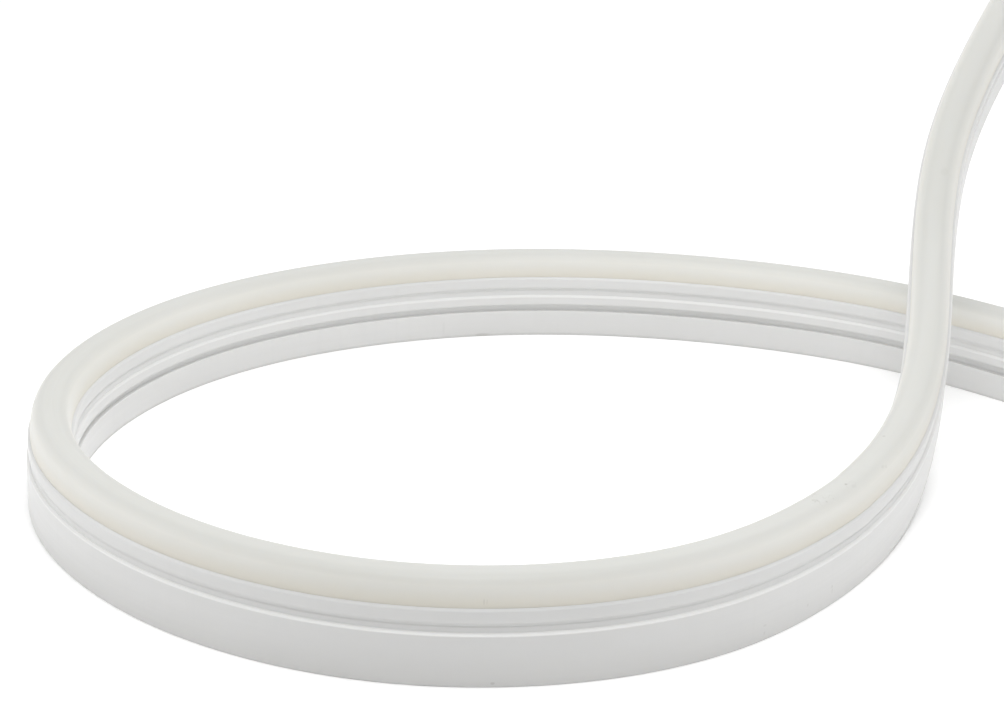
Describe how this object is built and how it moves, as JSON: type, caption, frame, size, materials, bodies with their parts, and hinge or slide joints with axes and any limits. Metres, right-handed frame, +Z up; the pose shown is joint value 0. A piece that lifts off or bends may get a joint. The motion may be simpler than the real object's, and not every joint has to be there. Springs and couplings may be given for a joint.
{
  "type": "led neon flex",
  "caption": "Side-bending neon-look light strip in a white jacket with a milky domed top, laid in an open loop with one end standing up.",
  "frame": {"origin": "on the floor, under the middle of the bounding box", "axes": "+X runs along the loop's length, from the round end towards the end that lies behind; +Y points away from the picture's camera; +Z is up"},
  "size_m": [0.363, 0.2434, 0.1445],
  "materials": {
    "jacket": "satin soft white PVC",
    "diffuser": "satin milky cream PVC",
    "led_strip": "white solder mask"
  },
  "bodies": {
    "root": {"jacket": "jacket", "diffuser": "diffuser", "led_strip": "led_strip"}
  },
  "joints": []
}
